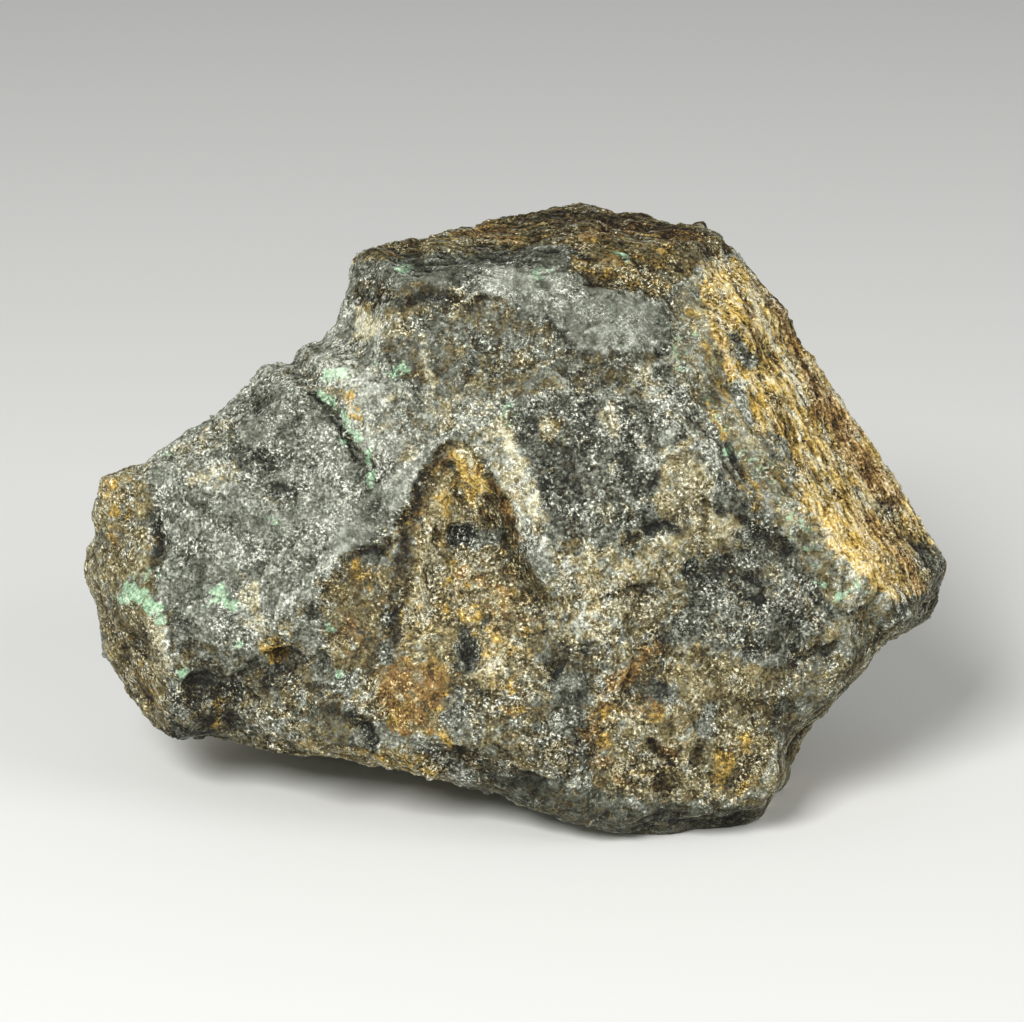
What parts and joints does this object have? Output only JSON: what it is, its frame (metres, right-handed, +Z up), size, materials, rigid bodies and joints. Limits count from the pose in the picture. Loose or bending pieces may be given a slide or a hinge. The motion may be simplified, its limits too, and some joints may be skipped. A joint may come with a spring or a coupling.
{
  "type": "allanite specimen",
  "caption": "Hand-sized broken lump of dark allanite in grey rock, with a rusty side face and green copper crusts, lying on its flat underside.",
  "frame": {"origin": "middle of the bounding box, on the flat underside", "axes": "+X to the right along the longest extent, as someone facing its best side sees it, +Y away from them, +Z up"},
  "size_m": [0.1204, 0.0708, 0.075],
  "materials": {
    "grey_rock": "rough, weathered broken rock, dark grey with rust and pale green crusts"
  },
  "bodies": {
    "root": {"allanite_stone": "grey_rock"}
  },
  "joints": []
}
